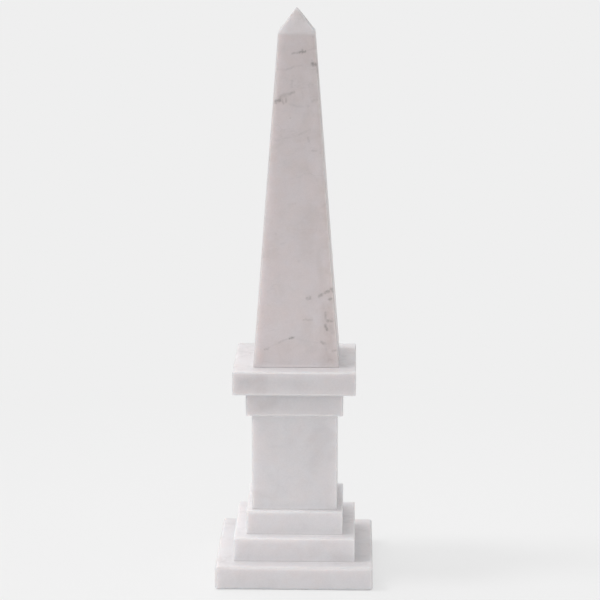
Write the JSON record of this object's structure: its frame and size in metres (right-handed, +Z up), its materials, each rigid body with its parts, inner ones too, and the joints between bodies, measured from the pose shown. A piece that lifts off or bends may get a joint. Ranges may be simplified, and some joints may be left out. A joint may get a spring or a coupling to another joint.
{
  "type": "table obelisk",
  "caption": "White marble table obelisk: a tapering square shaft with a pyramid point on a pedestal of stacked square slabs and a tall square die.",
  "frame": {"origin": "centre of the base slab's underside, which stands on the table", "axes": "+Z up along the shaft, +X to the right and -Y towards the viewer, square to the sides of the slabs"},
  "size_m": [0.131, 0.131, 0.4758],
  "materials": {
    "pedestal_marble": "honed white marble with faint grey clouds",
    "shaft_marble": "honed white marble with a pink-grey cast and fine brown-grey veins",
    "resin": "cured stone glue, dull"
  },
  "bodies": {
    "root": {"base_slab": "pedestal_marble", "middle_step": "pedestal_marble", "upper_step": "pedestal_marble", "die": "pedestal_marble", "neck_slab": "pedestal_marble", "cap_slab": "pedestal_marble", "shaft": "shaft_marble", "middle_step_bed": "resin", "upper_step_bed": "resin", "die_bed": "resin", "neck_slab_bed": "resin", "cap_slab_bed": "resin", "shaft_bed": "resin"}
  },
  "joints": []
}
